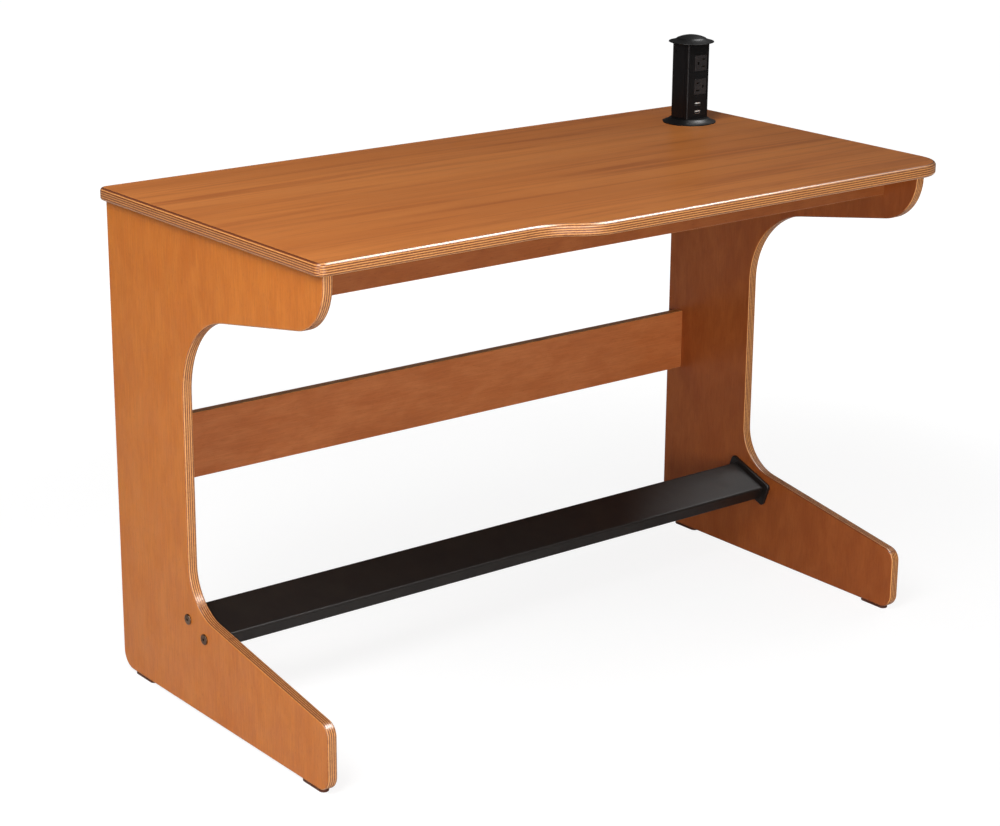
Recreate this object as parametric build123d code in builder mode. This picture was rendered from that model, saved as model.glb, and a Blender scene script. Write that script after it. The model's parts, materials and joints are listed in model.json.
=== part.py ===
from build123d import *
import math
import os

# Desk with C-shaped plywood sides, a stepped worktop, a steel footrest and a
# pull-up power tower. Millimetres. The origin is on the floor under the middle of the
# worktop: +X is to the user's right, +Y is to the back, +Z is up.

os.makedirs("parts", exist_ok=True)

LEFT = -1
RIGHT = 1
SIDES = (LEFT, RIGHT)
CLEARANCE = 0.05  # radial gap of a fastener or dowel in its hole

# ---------------------------------------------------------------- driving dimensions

# Worktop: plywood core with a laminate above and a balancing sheet below.
TOP_WIDTH = 1223.2
TOP_DEPTH = 653.5
FRONT_STEP = 39.2  # the left part of the front edge is set back by this much
STEP_CENTRE_X = -172.0
STEP_RUN = 123.0
CORNER_RADIUS = 14.0
FRONT_RIGHT_CORNER_RADIUS = 60.0
CORE_THICKNESS = 19.0
SHEET_THICKNESS = 0.8
TOP_EDGE_ROUND = 6.0
UNDERSIDE_EDGE_ROUND = 5.0

# Side panels: 18 mm nominal birch plywood, sanded.
GLIDE_THICKNESS = 4.0
PANEL_TOP = 786.0
PANEL_THICKNESS = 17.5
PANEL_OVERHANG = 11.0  # the worktop stands out past each panel's outer face
PANEL_BACK_Y = 320.2
FOOT_TIP_Y = -276.0
ARM_TIP_Y = -280.7
UPRIGHT_FRONT_Y = 104.7
FOOT_TIP_HEIGHT = 110.8  # height where the foot's sloping top would meet its front edge
ARM_ROOT_HEIGHT = 639.2  # height where the arm's sloping underside would meet the upright
SLOPE = 9.64  # degrees, of both the foot's top and the arm's underside
HEEL_RADIUS = 28.0
TOE_RADIUS = 25.0
INSTEP_RADIUS = 22.0
LOWER_BEND_RADIUS = 80.0
UPPER_BEND_RADIUS = 140.0
ARM_NOSE_RADIUS = 80.0
EDGE_ROUND = 3.0

# Cross members between the panels.
RAIL_FRONT_Y = 280.9
RAIL_BOTTOM = 314.8
RAIL_HEIGHT = 109.8
APRON_FRONT_Y = -208.7
APRON_BOTTOM = 734.0
MEMBER_EDGE_ROUND = 1.5

# Knock-down fittings.
DOWEL_RADIUS = 4.0
DOWEL_LENGTH = 30.0
DOWEL_IN_PANEL = 10.0
DOWEL_CHAMFER = 0.8
RAIL_DOWEL_OFFSET = 30.0  # above and below the rail's cam
APRON_DOWEL_HEIGHT = 12.0  # above the apron's bottom edge
APRON_CAM_DEPTH = 18.0  # below the worktop
HOLE_SPARE_DEPTH = 0.5
CAM_RADIUS = 7.5
CAM_DEPTH = 12.5
CAM_SETBACK = 24.0
CAM_SLOT_LENGTH = 10.0
CAM_SLOT_WIDTH = 1.6
CAM_SLOT_DEPTH = 1.5
CAM_MOUTH_RADIUS = 3.6
CAM_WALL = 3.8  # past the cam's centre, behind the bolt's head
CAM_BOLT_IN_PANEL = 11.0
CAM_BOLT_THREAD_RADIUS = 2.5
CAM_BOLT_SHANK_RADIUS = 3.0
CAM_BOLT_NECK_RADIUS = 1.8
CAM_BOLT_HEAD_RADIUS = 3.3
CAM_BOLT_NECK_LENGTH = 4.0
CAM_BOLT_HEAD_LENGTH = 3.0
CAM_BOLT_HOLE_RADIUS = 4.0
BRACKET_LEG = 40.0
BRACKET_WIDTH = 20.0
BRACKET_THICKNESS = 2.0
BRACKET_YS = (-128.0, 72.0, 272.0)
BRACKET_CORNER_ROUND = 0.6
BRACKET_SCREW_STEPS = (16.0, 32.0)
WOOD_SCREW_RADIUS = 1.9
WOOD_SCREW_LENGTH = 14.0
WOOD_SCREW_HOLE_DEPTH = 13.0
SCREW_HEAD_RADIUS = 4.0
SCREW_HEAD_HEIGHT = 2.4
SCREW_HEAD_ROUND = 0.9
CROSS_SLOT_LENGTH = 4.4
CROSS_SLOT_WIDTH = 0.9
SCREW_PLAY = 0.3  # radial gap of a screw in a metal part

# Glides under the panels.
GLIDE_LENGTH = 57.0
GLIDE_WIDTH = 16.0
GLIDE_YS = (-231.0, 259.0)
GLIDE_EDGE_ROUND = 1.2
GLIDE_SCREW_OFFSET = 16.0
GLIDE_SCREW_HEAD_RADIUS = 3.1
GLIDE_SCREW_PLAY = 0.2
GLIDE_SINK_RADIUS = 4.0
GLIDE_SCREW_SINK = 0.6  # the head lies this deep, clear of the floor
GLIDE_SCREW_CONE = 1.2
GLIDE_SCREW_LENGTH = 16.5
GLIDE_SCREW_POINT = 1.5

# Footrest: a flat steel tube on end plates, tipped up at the back.
FOOTREST_Y = 85.2
FOOTREST_Z = 144.7
FOOTREST_TILT = 20.8
TUBE_WIDTH = 82.0
TUBE_HEIGHT = 26.0
TUBE_RADIUS = 4.0
TUBE_WALL = 2.0
PLATE_LENGTH = 104.0
PLATE_WIDTH = 44.0
PLATE_THICKNESS = 6.0
PLATE_RADIUS = 6.0
PLATE_EDGE_ROUND = 1.5
BOLT_SPACING = 50.8
BOLT_RADIUS = 3.0
BOLT_HEAD_RADIUS = 8.5
BOLT_HEAD_HEIGHT = 2.6
BOLT_HEAD_ROUND = 1.2
BOLT_SOCKET_RADIUS = 2.0
BOLT_SOCKET_DEPTH = 4.5
BOLT_PAST_NUT = 2.0
BOLT_HOLE_PLAY = 0.5
NUT_FLATS = 10.0
NUT_HEIGHT = 5.0

# Power tower, drawn raised.
TOWER_X = 500.6
TOWER_Y = 189.7
TOWER_TRAVEL = 131.7
CUTOUT_RADIUS = 39.7
FLANGE_RADIUS = 47.2
FLANGE_HEIGHT = 8.0
FLANGE_RIM = 1.4
FLANGE_COVE_RADIUS = 40.5
FLANGE_COVE_HEIGHT = 3.6
FLANGE_LIP_RADIUS = 35.0
FLANGE_LIP_DROP = 0.6
FLANGE_FLAT_RADIUS = 33.2
FLANGE_LIP_ROUND = 3.0
SLEEVE_RADIUS = 38.5
SLEEVE_BORE_RADIUS = 35.5
SLEEVE_DROP = 60.0
GUIDE_DROP = 8.0
GUIDE_GAP = 0.5  # between the guide and the stop collar, tower raised
RING_WIDTH = 3.0  # of the pocket that holds the friction ring
RING_HEIGHT = 3.0
RING_PLAY = 0.1
CLAMP_RADIUS = 48.0
CLAMP_HEIGHT = 14.0
CLAMP_NOTCHES = 8
CLAMP_NOTCH_RADIUS = 6.0
CLAMP_NOTCH_CENTRE = 51.5
BODY_WIDTH = 50.5
BODY_DEPTH = 42.0
BODY_WALL = 2.0
BODY_CORNER_RADIUS = 2.6
BODY_SLACK = 0.6  # gap all round between the body and its guide
BODY_GROOVES = (3.3, 7.8)  # in each side wall, this far behind the front
BODY_GROOVE_WIDTH = 0.8
BODY_GROOVE_DEPTH = 0.5
BOSS_GAP = 0.1
BOSS_WALL = 2.6
BOSS_ROUND = 1.0
LID_BOSS_HEIGHT = 20.0
LID_BOSS_CUT = 8.0  # how far back the boss is open behind the body's front
BASE_BOSS_HEIGHT = 10.0
LID_GAP = 0.4  # gap under the lid when the tower is pushed down
LID_RADIUS = 40.0
LID_HEIGHT = 14.4
LID_SEAT_RADIUS = 34.0
LID_RIM_BOTTOM = 2.2
LID_RIM_TOP = 3.3
LID_RIM_DRAFT = 0.4
LID_SLOPE_RADIUS = 33.0
LID_SLOPE_HEIGHT = 5.1
LID_COVE_RADIUS = 27.0
LID_COVE_HEIGHT = 7.4
LID_CROWN_RADIUS = 25.0
LID_CROWN_HEIGHT = 9.2
SHELL_SCREW_DROP = 14.0  # below the lid
SHELL_SCREW_RISE = 6.0  # above the body's bottom
SHELL_SCREW_BACK = 11.6  # behind the tower's middle
SHELL_SCREW_RADIUS = 1.5
SHELL_SCREW_HEAD_RADIUS = 2.8
SHELL_SCREW_LENGTH = 4.6
SHELL_SCREW_SINK = 0.1
SHELL_SCREW_CONE = 1.5
SHELL_SCREW_PLAY = 0.2
SHELL_SCREW_HOLE_DEPTH = 8.0
COLLAR_HEIGHT = 12.0
COLLAR_PLAY = 1.0
COLLAR_CHAMFER = 1.0
BUSH_RADIUS = 6.2
BUSH_FLANGE_RADIUS = 9.0
BUSH_FLANGE = 3.0
BUSH_LENGTH = 13.0
CORD_RADIUS = 3.75
COIL_RADIUS = 45.0
COIL_PITCH = 8.6
COIL_TURNS = 3
COIL_DROP = 4.0
CORD_LEAD = 35.0
CORD_RISE = 34.0
CORD_IN_BODY = 5.0
COIL_END_PULL = 1.1  # how far the cord keeps its direction as it leaves the coil
RISER_END_PULL = 0.8

# Fascia, outlets and USB ports.
FASCIA_SHIFT = 1.0  # the fascia sits this far right of the tower's middle
FASCIA_MARGIN = 7.0  # width that the two ribs beside it take together
FASCIA_RECESS = 1.2
FASCIA_END = 3.0  # wall left above and below it
FASCIA_PLAY = 0.1
FASCIA_CHAMFER = 0.4
FASCIA_THICKNESS = 2.5
FASCIA_SEAMS = (929.0, 896.5, 889.0)
SEAM_WIDTH = 0.6
SEAM_DEPTH = 0.5
OUTLET_SIZE = 28.0
OUTLET_SHIFT = 7.2
OUTLET_GAP_LEFT = 3.0
OUTLET_GAP = 0.4
OUTLET_MARGIN = 1.1  # the flange behind the fascia laps over its opening by this
OUTLET_CORNER_RADIUS = 2.0
OUTLET_FLANGE_THICKNESS = 2.0
OUTLET_BACK_DEPTH = 15.0
OUTLET_BACK_WALL = 1.5
OUTLET_BACK_SIZE = 26.0
OUTLET_FACE_RECESS = 0.4
UPPER_OUTLET_Z = 912.5
LOWER_OUTLET_Z = 870.9
SLOT_SPACING = 12.7
SLOT_TO_GROUND = 11.9
SLOT_WIDTH = 2.4
LONG_SLOT = 8.0
SHORT_SLOT = 6.6
GROUND_RADIUS = 2.7
CONTACT_LENGTH = 9.0
CONTACT_WALL = 0.6
CONTACT_MOUTH = 2.2
USB_ZS = (840.7, 826.5)
USB_SHIFT = 1.9
USB_WIDTH = 13.4
USB_HEIGHT = 6.0
USB_PLAY = 0.2
USB_BACK_WALL = 2.0
USB_SHELL_WIDTH = 13.1
USB_SHELL_HEIGHT = 5.7
USB_SHELL_WALL = 0.4
USB_SHELL_ROUND = 0.5
USB_SHELL_RECESS = 0.4
USB_DEPTH = 14.0
USB_TONGUE_WIDTH = 11.0
USB_TONGUE_HEIGHT = 1.9
USB_TONGUE_RISE = 1.1
USB_TONGUE_RECESS = 1.0
USB_CASE_WIDTH = 22.0
USB_CASE_HEIGHT = 24.0
BOARD_SIZE = 26.0
BOARD_THICKNESS = 1.6
CHIP_HEIGHT = 2.4
# Each chip on the board: across and up from its middle, then width and length.
CHIPS = ((-6.0, 5.0, 8.0, 8.0), (6.0, 4.0, 6.0, 10.0), (0.0, -7.0, 12.0, 5.0))

# Cord plug and tie.
PLUG_WIDTH = 24.0
PLUG_HEIGHT = 20.0
PLUG_ROUND = 5.0
PLUG_TAPER = 20.0
PLUG_GRIP = 18.0
PLUG_NECK = 2.2  # jacket thickness round the cord
PLUG_ON_CORD = 8.0
PLUG_BORE_SPARE = 1.0
PLUG_EDGE_ROUND = 1.5
BLADE_LENGTH = 17.0
BLADE_WIDTH = 6.3
BLADE_THICKNESS = 1.5
GROUND_PIN_RADIUS = 2.4
BLADE_RISE = 3.0
TIE_WIDTH = 14.0
TIE_GAP = 0.85
TIE_THICKNESS = 1.6

# ---------------------------------------------------------------- derived dimensions

TOP_THICKNESS = CORE_THICKNESS + 2 * SHEET_THICKNESS
TOP_SURFACE = PANEL_TOP + TOP_THICKNESS
TOP_BACK_Y = TOP_DEPTH / 2
TOP_FRONT_Y = -TOP_DEPTH / 2
LEFT_FRONT_Y = TOP_FRONT_Y + FRONT_STEP

PANEL_OUTER_X = TOP_WIDTH / 2 - PANEL_OVERHANG
PANEL_INNER_X = PANEL_OUTER_X - PANEL_THICKNESS
PANEL_MIDDLE_X = PANEL_OUTER_X - PANEL_THICKNESS / 2
SLOPE_RISE = math.tan(math.radians(SLOPE))

RAIL_BACK_Y = RAIL_FRONT_Y + PANEL_THICKNESS
RAIL_MIDDLE_Y = RAIL_FRONT_Y + PANEL_THICKNESS / 2
RAIL_CAM_Z = RAIL_BOTTOM + RAIL_HEIGHT / 2
RAIL_DOWEL_ZS = (RAIL_CAM_Z - RAIL_DOWEL_OFFSET, RAIL_CAM_Z + RAIL_DOWEL_OFFSET)
APRON_BACK_Y = APRON_FRONT_Y + PANEL_THICKNESS
APRON_MIDDLE_Y = APRON_FRONT_Y + PANEL_THICKNESS / 2
APRON_CAM_Z = PANEL_TOP - APRON_CAM_DEPTH
APRON_DOWEL_ZS = (APRON_BOTTOM + APRON_DOWEL_HEIGHT,)
DOWEL_IN_MEMBER = DOWEL_LENGTH - DOWEL_IN_PANEL

PLATE_FACE_X = PANEL_INNER_X - PLATE_THICKNESS
BOLT_LENGTH = PANEL_THICKNESS + PLATE_THICKNESS + NUT_HEIGHT + BOLT_PAST_NUT

GUIDE_BOTTOM = TOP_SURFACE - GUIDE_DROP
FLANGE_TOP = TOP_SURFACE + FLANGE_HEIGHT
BODY_BOTTOM = GUIDE_BOTTOM - GUIDE_GAP
LID_BOTTOM = FLANGE_TOP + LID_GAP + TOWER_TRAVEL
LID_TOP = LID_BOTTOM + LID_HEIGHT
CROWN_RISE = LID_HEIGHT - LID_CROWN_HEIGHT
CROWN_SPHERE = (LID_CROWN_RADIUS**2 + CROWN_RISE**2) / (2 * CROWN_RISE)
UPPER_SCREW_Z = LID_BOTTOM - SHELL_SCREW_DROP
LOWER_SCREW_Z = BODY_BOTTOM + SHELL_SCREW_RISE
BODY_FRONT_Y = TOWER_Y - BODY_DEPTH / 2
COLLAR_BOTTOM = BODY_BOTTOM - COLLAR_HEIGHT
BOSS_WIDTH = BODY_WIDTH - 2 * BODY_WALL - 2 * BOSS_GAP
BOSS_DEPTH = BODY_DEPTH - 2 * BODY_WALL - 2 * BOSS_GAP
FASCIA_WIDTH = BODY_WIDTH - FASCIA_MARGIN
FASCIA_BOTTOM = FLANGE_TOP + FASCIA_END
FASCIA_TOP = LID_BOTTOM - FASCIA_END
FASCIA_HEIGHT = FASCIA_TOP - FASCIA_BOTTOM
FASCIA_MIDDLE_Z = (FASCIA_TOP + FASCIA_BOTTOM) / 2
FASCIA_FRONT_Y = BODY_FRONT_Y + FASCIA_RECESS
FASCIA_BACK_Y = FASCIA_FRONT_Y + FASCIA_THICKNESS
OUTLET_FRONT_Y = FASCIA_FRONT_Y + OUTLET_FACE_RECESS
OPENING_WIDTH = OUTLET_SIZE + OUTLET_GAP_LEFT + OUTLET_GAP
OPENING_HEIGHT = OUTLET_SIZE + 2 * OUTLET_GAP
OPENING_SHIFT = OUTLET_SHIFT + (OUTLET_GAP - OUTLET_GAP_LEFT) / 2
OUTLET_FLANGE_Y = FASCIA_BACK_Y + OUTLET_FLANGE_THICKNESS
OUTLET_BACK_Y = OUTLET_FLANGE_Y + OUTLET_BACK_DEPTH
USB_BACK_Y = FASCIA_BACK_Y + USB_DEPTH
USB_INNER_Y = USB_BACK_Y - USB_BACK_WALL
USB_SHELL_FRONT_Y = FASCIA_FRONT_Y + USB_SHELL_RECESS
USB_MIDDLE_Z = sum(USB_ZS) / 2
BOARD_BACK_Y = USB_BACK_Y + BOARD_THICKNESS
COIL_TOP = COLLAR_BOTTOM - SLEEVE_DROP - COIL_DROP
COIL_BOTTOM = COIL_TOP - COIL_PITCH * COIL_TURNS
TIE_INNER_WIDTH = 2 * (CORD_RADIUS + TIE_GAP)
TIE_INNER_HEIGHT = (COIL_TURNS - 1) * COIL_PITCH + TIE_INNER_WIDTH
TIE_INNER_ROUND = CORD_RADIUS


# ---------------------------------------------------------------- shared helpers


def facing(x, y, z, direction):
    """A place at a point, with its local Z along the direction given."""
    return Plane(origin=(x, y, z), z_dir=direction).location


def footrest_plane(x):
    """The footrest's cross-section plane: local X up its tilted width, local Y up through it."""
    tilt = math.radians(FOOTREST_TILT)
    return Plane(
        origin=(x, FOOTREST_Y, FOOTREST_Z),
        x_dir=(0, math.cos(tilt), math.sin(tilt)),
        z_dir=(1, 0, 0),
    )


def bolt_places(x, direction):
    """The two footrest bolt positions at one x, facing along X in the direction given."""
    tilt = math.radians(FOOTREST_TILT)
    places = []
    for step in (-BOLT_SPACING / 2, BOLT_SPACING / 2):
        y = FOOTREST_Y + step * math.cos(tilt)
        z = FOOTREST_Z + step * math.sin(tilt)
        places.append(facing(x, y, z, (direction, 0, 0)))
    return places


def bracket_panel_screws(side, depth=0.0):
    """Bracket screw positions on one panel's inner face, facing into the knee space."""
    places = []
    for y in BRACKET_YS:
        for step in BRACKET_SCREW_STEPS:
            places.append(facing(side * (PANEL_INNER_X - depth), y, PANEL_TOP - step, (-side, 0, 0)))
    return places


def bracket_top_screws(z):
    """Bracket screw positions under the worktop on both sides, facing down."""
    places = []
    for side in SIDES:
        for y in BRACKET_YS:
            for step in BRACKET_SCREW_STEPS:
                places.append(facing(side * (PANEL_INNER_X - step), y, z, (0, 0, -1)))
    return places


def glide_screw_places(side, z):
    """Screw positions of the glides under one panel, facing down."""
    places = []
    for y in GLIDE_YS:
        for offset in (-GLIDE_SCREW_OFFSET, GLIDE_SCREW_OFFSET):
            places.append(facing(side * PANEL_MIDDLE_X, y + offset, z, (0, 0, -1)))
    return places


def dowel_points():
    """The (y, z) of every dowel in the end of the rail and of the apron."""
    rail = [(RAIL_MIDDLE_Y, z) for z in RAIL_DOWEL_ZS]
    apron = [(APRON_MIDDLE_Y, z) for z in APRON_DOWEL_ZS]
    return rail + apron


def cam_points():
    """The (y, z) of every cam bolt in the end of the rail and of the apron."""
    return [(RAIL_MIDDLE_Y, RAIL_CAM_Z), (APRON_MIDDLE_Y, APRON_CAM_Z)]


# ---------------------------------------------------------------- worktop


def worktop_outline():
    """Plan of the worktop: the front edge steps forward on the right through an S-curve."""
    step_start = (STEP_CENTRE_X - STEP_RUN / 2, LEFT_FRONT_Y)
    step_middle = (STEP_CENTRE_X, (LEFT_FRONT_Y + TOP_FRONT_Y) / 2)
    step_end = (STEP_CENTRE_X + STEP_RUN / 2, TOP_FRONT_Y)
    half_width = TOP_WIDTH / 2
    with BuildSketch(Plane.XY.offset(PANEL_TOP)) as outline:
        with BuildLine():
            Line((-half_width, TOP_BACK_Y), (-half_width, LEFT_FRONT_Y))
            Line((-half_width, LEFT_FRONT_Y), step_start)
            TangentArc(step_start, step_middle, tangent=(1, 0))
            TangentArc(step_end, step_middle, tangent=(-1, 0))
            Line(step_end, (half_width, TOP_FRONT_Y))
            Line((half_width, TOP_FRONT_Y), (half_width, TOP_BACK_Y))
            Line((half_width, TOP_BACK_Y), (-half_width, TOP_BACK_Y))
        make_face()
        corners = outline.vertices().filter_by(lambda v: abs(v.X) > half_width - 1)
        front_right = corners.filter_by(lambda v: v.X > 0).sort_by(Axis.Y)[0]
        fillet(front_right, FRONT_RIGHT_CORNER_RADIUS)
        corners = outline.vertices().filter_by(lambda v: abs(v.X) > half_width - 1)
        square = corners.filter_by(lambda v: v.X < 0 or v.Y > TOP_BACK_Y - 1)
        fillet(square, CORNER_RADIUS)
    return outline.sketch


def worktop_layer(bottom, top):
    """One sheet of the worktop, cut from the rounded stack between two heights."""
    outline = worktop_outline()
    with BuildPart() as layer:
        extrude(outline, amount=TOP_THICKNESS)
        upper_edges = layer.faces().sort_by(Axis.Z)[-1].edges()
        fillet(upper_edges, TOP_EDGE_ROUND)
        lower_edges = layer.faces().sort_by(Axis.Z)[0].edges()
        fillet(lower_edges, UNDERSIDE_EDGE_ROUND)
        with Locations((TOWER_X, TOWER_Y, TOP_SURFACE)):
            Hole(radius=CUTOUT_RADIUS, depth=TOP_THICKNESS)
        if bottom < PANEL_TOP + WOOD_SCREW_LENGTH:
            with Locations(*bracket_top_screws(PANEL_TOP)):
                Hole(radius=WOOD_SCREW_RADIUS + CLEARANCE, depth=WOOD_SCREW_HOLE_DEPTH)
        if bottom > PANEL_TOP:
            split(bisect_by=Plane.XY.offset(bottom), keep=Keep.TOP)
        if top < TOP_SURFACE:
            split(bisect_by=Plane.XY.offset(top), keep=Keep.BOTTOM)
    return layer


top_core = worktop_layer(PANEL_TOP + SHEET_THICKNESS, TOP_SURFACE - SHEET_THICKNESS)
top_core.part.label = "top_core"
export_step(top_core.part, "parts/top_core.step")

top_laminate = worktop_layer(TOP_SURFACE - SHEET_THICKNESS, TOP_SURFACE)
top_laminate.part.label = "top_laminate"
export_step(top_laminate.part, "parts/top_laminate.step")

underside_sheet = worktop_layer(PANEL_TOP, PANEL_TOP + SHEET_THICKNESS)
underside_sheet.part.label = "underside_sheet"
export_step(underside_sheet.part, "parts/underside_sheet.step")

# ---------------------------------------------------------------- side panels


def panel_profile():
    """Side view of a panel as the corner points of a C, with the radius of each corner."""
    foot_root_z = FOOT_TIP_HEIGHT + SLOPE_RISE * (UPRIGHT_FRONT_Y - FOOT_TIP_Y)
    arm_nose_z = ARM_ROOT_HEIGHT + SLOPE_RISE * (UPRIGHT_FRONT_Y - ARM_TIP_Y)
    return [
        ((PANEL_BACK_Y, GLIDE_THICKNESS), HEEL_RADIUS),
        ((FOOT_TIP_Y, GLIDE_THICKNESS), TOE_RADIUS),
        ((FOOT_TIP_Y, FOOT_TIP_HEIGHT), INSTEP_RADIUS),
        ((UPRIGHT_FRONT_Y, foot_root_z), LOWER_BEND_RADIUS),
        ((UPRIGHT_FRONT_Y, ARM_ROOT_HEIGHT), UPPER_BEND_RADIUS),
        ((ARM_TIP_Y, arm_nose_z), ARM_NOSE_RADIUS),
        ((ARM_TIP_Y, PANEL_TOP), 0.0),
        ((PANEL_BACK_Y, PANEL_TOP), 0.0),
    ]


def side_panel(side):
    """One C-shaped plywood side, with its rounded edges and all its fastener holes."""
    low_x = PANEL_INNER_X if side == RIGHT else -PANEL_OUTER_X
    inner_x = side * PANEL_INNER_X
    corners = panel_profile()
    with BuildPart() as panel:
        with BuildSketch(Plane.YZ.offset(low_x)) as profile:
            with BuildLine():
                Polyline(*[point for point, radius in corners], close=True)
            make_face()
            for point, radius in corners:
                if radius > 0:
                    corner = profile.vertices().sort_by_distance((point[0], point[1], 0))[0]
                    fillet(corner, radius)
        extrude(amount=PANEL_THICKNESS)
        flats = panel.faces().filter_by(Axis.X)
        rounded = flats.edges().filter_by(lambda e: e.center().Z < PANEL_TOP - 1)
        fillet(rounded, EDGE_ROUND)
        with Locations(*[facing(inner_x, y, z, (-side, 0, 0)) for y, z in dowel_points()]):
            Hole(radius=DOWEL_RADIUS + CLEARANCE, depth=DOWEL_IN_PANEL + HOLE_SPARE_DEPTH)
        with Locations(*[facing(inner_x, y, z, (-side, 0, 0)) for y, z in cam_points()]):
            Hole(radius=CAM_BOLT_THREAD_RADIUS + CLEARANCE, depth=CAM_BOLT_IN_PANEL + HOLE_SPARE_DEPTH)
        with Locations(*bracket_panel_screws(side)):
            Hole(radius=WOOD_SCREW_RADIUS + CLEARANCE, depth=WOOD_SCREW_HOLE_DEPTH)
        with Locations(*bolt_places(inner_x, -side)):
            Hole(radius=BOLT_RADIUS + BOLT_HOLE_PLAY, depth=PANEL_THICKNESS)
        with Locations(*glide_screw_places(side, GLIDE_THICKNESS)):
            Hole(radius=WOOD_SCREW_RADIUS + CLEARANCE, depth=WOOD_SCREW_HOLE_DEPTH)
    return panel


left_side_panel = side_panel(LEFT)
left_side_panel.part.label = "left_side_panel"
export_step(left_side_panel.part, "parts/left_side_panel.step")

right_side_panel = side_panel(RIGHT)
right_side_panel.part.label = "right_side_panel"
export_step(right_side_panel.part, "parts/right_side_panel.step")

# ---------------------------------------------------------------- rail and apron


def cross_member(front_y, bottom, height, dowel_zs, cam_z):
    """A plywood board between the panels, drilled for its dowels and cam fittings."""
    middle_y = front_y + PANEL_THICKNESS / 2
    back_y = front_y + PANEL_THICKNESS
    with BuildPart() as board:
        with Locations((0, middle_y, bottom + height / 2)):
            Box(2 * PANEL_INNER_X, PANEL_THICKNESS, height)
        if bottom + height < PANEL_TOP:
            rounded = board.edges().filter_by(Axis.X)
        else:
            rounded = board.edges().filter_by(Axis.X).sort_by(Axis.Z)[:2]
        fillet(rounded, MEMBER_EDGE_ROUND)
        for side in SIDES:
            end_x = side * PANEL_INNER_X
            with Locations(*[facing(end_x, middle_y, z, (side, 0, 0)) for z in dowel_zs]):
                Hole(radius=DOWEL_RADIUS + CLEARANCE, depth=DOWEL_IN_MEMBER + HOLE_SPARE_DEPTH)
            with Locations(facing(end_x, middle_y, cam_z, (side, 0, 0))):
                Hole(radius=CAM_BOLT_HOLE_RADIUS, depth=CAM_SETBACK)
            with Locations(facing(side * (PANEL_INNER_X - CAM_SETBACK), back_y, cam_z, (0, 1, 0))):
                Hole(radius=CAM_RADIUS + CLEARANCE, depth=CAM_DEPTH)
    return board


back_rail = cross_member(RAIL_FRONT_Y, RAIL_BOTTOM, RAIL_HEIGHT, RAIL_DOWEL_ZS, RAIL_CAM_Z)
back_rail.part.label = "back_rail"
export_step(back_rail.part, "parts/back_rail.step")

front_apron = cross_member(
    APRON_FRONT_Y, APRON_BOTTOM, PANEL_TOP - APRON_BOTTOM, APRON_DOWEL_ZS, APRON_CAM_Z
)
front_apron.part.label = "front_apron"
export_step(front_apron.part, "parts/front_apron.step")

# ---------------------------------------------------------------- knock-down fittings

with BuildPart() as wooden_dowels:
    for side in SIDES:
        dowel_base_x = side * (PANEL_INNER_X + DOWEL_IN_PANEL)
        with Locations(*[facing(dowel_base_x, y, z, (-side, 0, 0)) for y, z in dowel_points()]):
            Cylinder(DOWEL_RADIUS, DOWEL_LENGTH, align=(Align.CENTER, Align.CENTER, Align.MIN))
    chamfer(wooden_dowels.edges().filter_by(GeomType.CIRCLE), DOWEL_CHAMFER)
wooden_dowels.part.label = "wooden_dowels"
export_step(wooden_dowels.part, "parts/wooden_dowels.step")


def cam_bolt_profile():
    """Half section of a cam bolt: local Y runs from its thread to its head, from the panel face."""
    with BuildSketch() as section:
        with BuildLine():
            Polyline(
                (0, -CAM_BOLT_IN_PANEL),
                (CAM_BOLT_THREAD_RADIUS, -CAM_BOLT_IN_PANEL),
                (CAM_BOLT_THREAD_RADIUS, 0),
                (CAM_BOLT_SHANK_RADIUS, 0),
                (CAM_BOLT_SHANK_RADIUS, CAM_SETBACK - CAM_BOLT_NECK_LENGTH),
                (CAM_BOLT_NECK_RADIUS, CAM_SETBACK - CAM_BOLT_NECK_LENGTH),
                (CAM_BOLT_NECK_RADIUS, CAM_SETBACK),
                (CAM_BOLT_HEAD_RADIUS, CAM_SETBACK),
                (CAM_BOLT_HEAD_RADIUS, CAM_SETBACK + CAM_BOLT_HEAD_LENGTH),
                (0, CAM_SETBACK + CAM_BOLT_HEAD_LENGTH),
                close=True,
            )
        make_face()
    return section.sketch


def revolved(section, places):
    """Solids made by turning a half section about its local Y and standing one at each place."""
    with BuildPart() as turned:
        revolve(section, axis=Axis.Y)
    upright = turned.part.rotate(Axis.X, 90)
    with BuildPart() as copies:
        with Locations(*places):
            add(upright)
    return copies


cam_bolt_places = []
for side in SIDES:
    for y, z in cam_points():
        cam_bolt_places.append(facing(side * PANEL_INNER_X, y, z, (-side, 0, 0)))
cam_bolts = revolved(cam_bolt_profile(), cam_bolt_places)
cam_bolts.part.label = "cam_bolts"
export_step(cam_bolts.part, "parts/cam_bolts.step")

with BuildPart() as cam_locks:
    for side in SIDES:
        cam_x = side * (PANEL_INNER_X - CAM_SETBACK)
        for back_y, middle_y, cam_z in (
            (RAIL_BACK_Y, RAIL_MIDDLE_Y, RAIL_CAM_Z),
            (APRON_BACK_Y, APRON_MIDDLE_Y, APRON_CAM_Z),
        ):
            with Locations(facing(cam_x, back_y, cam_z, (0, 1, 0))):
                Cylinder(CAM_RADIUS, CAM_DEPTH, align=(Align.CENTER, Align.CENTER, Align.MAX))
                Box(
                    CAM_SLOT_LENGTH,
                    CAM_SLOT_WIDTH,
                    CAM_SLOT_DEPTH,
                    align=(Align.CENTER, Align.CENTER, Align.MAX),
                    mode=Mode.SUBTRACT,
                )
            with Locations(facing(cam_x - side * CAM_WALL, middle_y, cam_z, (side, 0, 0))):
                Cylinder(
                    CAM_MOUTH_RADIUS,
                    CAM_SETBACK,
                    align=(Align.CENTER, Align.CENTER, Align.MIN),
                    mode=Mode.SUBTRACT,
                )
cam_locks.part.label = "cam_locks"
export_step(cam_locks.part, "parts/cam_locks.step")

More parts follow.
